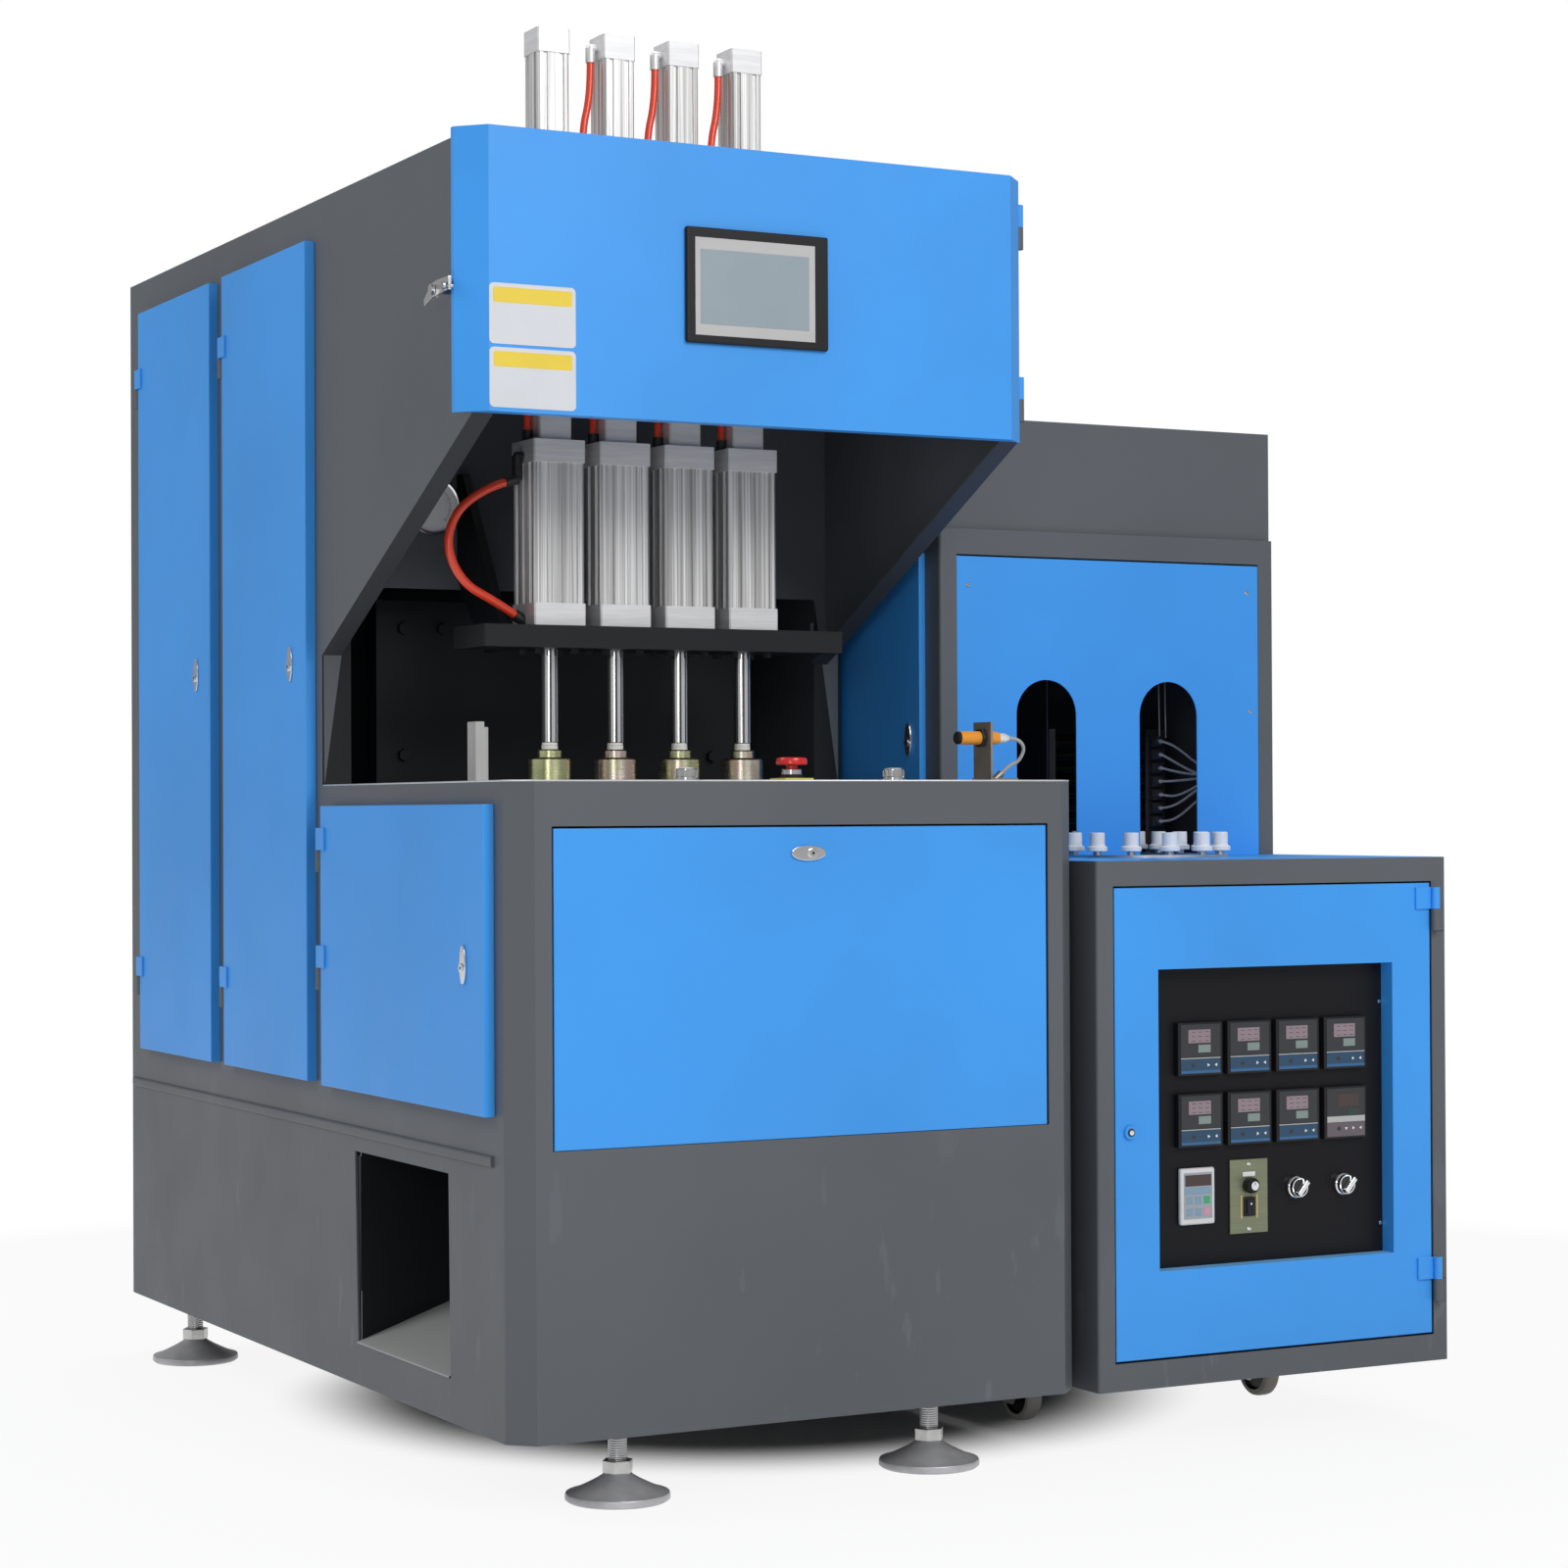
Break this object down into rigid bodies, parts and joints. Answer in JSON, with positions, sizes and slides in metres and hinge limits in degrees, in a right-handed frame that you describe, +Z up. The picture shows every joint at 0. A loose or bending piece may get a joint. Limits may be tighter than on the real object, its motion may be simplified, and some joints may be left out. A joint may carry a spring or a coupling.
{
  "type": "blow moulding machine",
  "caption": "Semi-automatic stretch blow moulding machine with hooded cylinder stations over a table, and a wheeled preform oven with arches beside it.",
  "frame": {"origin": "middle of the footprint's bounding box, on the floor", "axes": "+X to the operator's right, +Y to the back, +Z up"},
  "size_m": [1.452, 1.5425, 1.916],
  "materials": {
    "grey_coat": "fine textured powder coat",
    "blue_coat": "satin powder coat",
    "deep_blue_coat": "satin powder coat",
    "black_steel": "blackened",
    "plate_steel": "brushed",
    "pale_steel": "smooth",
    "zinc_steel": "zinc plated",
    "cup_zinc": "yellow passivated zinc",
    "cylinder_alloy": "anodised, drawn",
    "mould_alloy": "milled",
    "rod_chrome": "polished",
    "hinge_chrome": "plated",
    "cast_base": "rough",
    "screen_plastic": "fine texture",
    "meter_plastic": "fine texture",
    "panel_black": "satin",
    "red_plastic": "glossy",
    "orange_plastic": "glossy",
    "red_hose": "smooth tube",
    "grey_cable": "matt",
    "gauge_case": "with pale dial",
    "preform_white": "smooth",
    "lamp_glass": "quartz tube",
    "wheel_rubber": "moulded"
  },
  "bodies": {
    "machine": {"front_cabinet": "grey_coat", "rear_cabinet": "grey_coat", "hood_frame": "grey_coat", "table_plate": "plate_steel", "chute": "pale_steel", "door_hinges": "deep_blue_coat", "levelling_feet": "cast_base", "cylinder_plate": "black_steel", "blow_cylinders": "cylinder_alloy", "stretch_cylinders": "cylinder_alloy", "clamp_frame": "black_steel", "clamp_cylinder": "cylinder_alloy", "front_mould": "mould_alloy", "control_collars": "zinc_steel", "sensor_bracket": "zinc_steel", "sensor": "orange_plastic", "sensor_cable": "grey_cable", "pressure_gauge": "gauge_case", "air_hoses": "red_hose", "heater_cabinet": "grey_coat", "oven_housing": "grey_coat", "oven_side_door": "deep_blue_coat", "oven_front": "blue_coat", "preform_chain": "preform_white", "oven_lamps": "lamp_glass", "caster_mounts": "zinc_steel"},
    "hood": {"hood_cover": "blue_coat", "touch_screen": "screen_plastic"},
    "hood_latch": {"hood_latch": "hinge_chrome"},
    "front_panel": {"front_panel": "blue_coat"},
    "rear_door": {"rear_door": "deep_blue_coat"},
    "middle_door": {"middle_door": "deep_blue_coat"},
    "low_door": {"low_door": "deep_blue_coat"},
    "stretch_rods": {"stretch_rods": "rod_chrome"},
    "clamp": {"moving_platen": "black_steel", "rear_mould": "mould_alloy", "clamp_rod": "rod_chrome"},
    "stop_button": {"stop_button": "red_plastic"},
    "start_button_left": {"start_button_left": "zinc_steel"},
    "start_button_right": {"start_button_right": "zinc_steel"},
    "heater_door": {"heater_door": "blue_coat", "control_panel": "panel_black", "panel_instruments": "meter_plastic"},
    "speed_knob": {"speed_knob": "meter_plastic"},
    "selector_left": {"selector_left": "zinc_steel"},
    "selector_right": {"selector_right": "zinc_steel"},
    "blow_rod_1": {"blow_rod_1": "rod_chrome", "blow_nozzle_1": "cup_zinc"},
    "blow_rod_2": {"blow_rod_2": "rod_chrome", "blow_nozzle_2": "cup_zinc"},
    "blow_rod_3": {"blow_rod_3": "rod_chrome", "blow_nozzle_3": "cup_zinc"},
    "blow_rod_4": {"blow_rod_4": "rod_chrome", "blow_nozzle_4": "cup_zinc"},
    "caster_left": {"caster_fork_left": "zinc_steel"},
    "front_wheel_left": {"front_wheel_left": "wheel_rubber"},
    "rear_wheel_left": {"rear_wheel_left": "wheel_rubber"},
    "caster_right": {"caster_fork_right": "zinc_steel"},
    "front_wheel_right": {"front_wheel_right": "wheel_rubber"},
    "rear_wheel_right": {"rear_wheel_right": "wheel_rubber"}
  },
  "joints": [
    {"name": "hood_hinge", "type": "hinge", "parent": "machine", "child": "hood", "pos_m": [0.1115, -0.62975, 1.526], "axis": [0, 0, 1], "range_deg": [0, 100]},
    {"name": "latch_pivot", "type": "hinge", "parent": "machine", "child": "hood_latch", "pos_m": [-0.719, -0.59675, 1.506], "axis": [-1, 0, 0], "range_deg": [0, 80]},
    {"name": "front_panel_hinge", "type": "hinge", "parent": "machine", "child": "front_panel", "pos_m": [-0.283, -0.75675, 0.4495], "axis": [1, 0, 0], "range_deg": [0, 90]},
    {"name": "rear_door_hinge", "type": "hinge", "parent": "machine", "child": "rear_door", "pos_m": [-0.699, 0.69275, 1.066], "axis": [0, 0, -1], "range_deg": [0, 110]},
    {"name": "middle_door_hinge", "type": "hinge", "parent": "machine", "child": "middle_door", "pos_m": [-0.699, 0.28375, 1.066], "axis": [0, 0, -1], "range_deg": [0, 110]},
    {"name": "low_door_hinge", "type": "hinge", "parent": "machine", "child": "low_door", "pos_m": [-0.699, -0.12625, 0.678], "axis": [0, 0, -1], "range_deg": [0, 110]},
    {"name": "blow_rod_1_slide", "type": "slide", "parent": "machine", "child": "blow_rod_1", "axis": [0, 0, 1], "range_m": [0, 0.1]},
    {"name": "blow_rod_2_slide", "type": "slide", "parent": "machine", "child": "blow_rod_2", "axis": [0, 0, 1], "range_m": [0, 0.1]},
    {"name": "blow_rod_3_slide", "type": "slide", "parent": "machine", "child": "blow_rod_3", "axis": [0, 0, 1], "range_m": [0, 0.1]},
    {"name": "blow_rod_4_slide", "type": "slide", "parent": "machine", "child": "blow_rod_4", "axis": [0, 0, 1], "range_m": [0, 0.1]},
    {"name": "stretch_slide", "type": "slide", "parent": "machine", "child": "stretch_rods", "axis": [0, 0, -1], "range_m": [0, 0.345]},
    {"name": "clamp_slide", "type": "slide", "parent": "machine", "child": "clamp", "axis": [0, 1, 0], "range_m": [0, 0.12]},
    {"name": "stop_button_press", "type": "slide", "parent": "machine", "child": "stop_button", "axis": [0, 0, -1], "range_m": [0, 0.004]},
    {"name": "start_button_left_press", "type": "slide", "parent": "machine", "child": "start_button_left", "axis": [0, 0, -1], "range_m": [0, 0.004], "stiffness_N_per_m": 400, "springref_m": -0.002},
    {"name": "start_button_right_press", "type": "slide", "parent": "machine", "child": "start_button_right", "axis": [0, 0, -1], "range_m": [0, 0.004], "stiffness_N_per_m": 400, "springref_m": -0.002},
    {"name": "heater_door_hinge", "type": "hinge", "parent": "machine", "child": "heater_door", "pos_m": [0.703, -0.76525, 0.46], "axis": [0, 0, 1], "range_deg": [0, 100]},
    {"name": "speed_knob_turn", "type": "hinge", "parent": "heater_door", "child": "speed_knob", "pos_m": [0.404, -0.74375, 0.348], "axis": [0, 1, 0], "range_deg": [-150, 120]},
    {"name": "selector_left_turn", "type": "hinge", "parent": "heater_door", "child": "selector_left", "pos_m": [0.482, -0.74875, 0.341], "axis": [0, 1, 0], "range_deg": [-90, 0]},
    {"name": "selector_right_turn", "type": "hinge", "parent": "heater_door", "child": "selector_right", "pos_m": [0.562, -0.74875, 0.341], "axis": [0, 1, 0], "range_deg": [-90, 0]},
    {"name": "caster_left_swivel", "type": "hinge", "parent": "machine", "child": "caster_left", "pos_m": [0.225, -0.46175, 0.08], "axis": [0, 0, 1], "continuous": true},
    {"name": "front_wheel_left_spin", "type": "hinge", "parent": "caster_left", "child": "front_wheel_left", "pos_m": [0.225, -0.43975, 0.0375], "axis": [1, 0, 0], "continuous": true},
    {"name": "rear_wheel_left_spin", "type": "hinge", "parent": "machine", "child": "rear_wheel_left", "pos_m": [0.225, 0.54125, 0.0375], "axis": [1, 0, 0], "continuous": true},
    {"name": "caster_right_swivel", "type": "hinge", "parent": "machine", "child": "caster_right", "pos_m": [0.633, -0.46175, 0.08], "axis": [0, 0, 1], "continuous": true},
    {"name": "front_wheel_right_spin", "type": "hinge", "parent": "caster_right", "child": "front_wheel_right", "pos_m": [0.633, -0.43975, 0.0375], "axis": [1, 0, 0], "continuous": true},
    {"name": "rear_wheel_right_spin", "type": "hinge", "parent": "machine", "child": "rear_wheel_right", "pos_m": [0.633, 0.54125, 0.0375], "axis": [1, 0, 0], "continuous": true}
  ],
  "couplings": [
    {"joint": "blow_rod_2_slide", "follows": "blow_rod_1_slide", "ratio": 1},
    {"joint": "blow_rod_3_slide", "follows": "blow_rod_1_slide", "ratio": 1},
    {"joint": "blow_rod_4_slide", "follows": "blow_rod_1_slide", "ratio": 1}
  ]
}
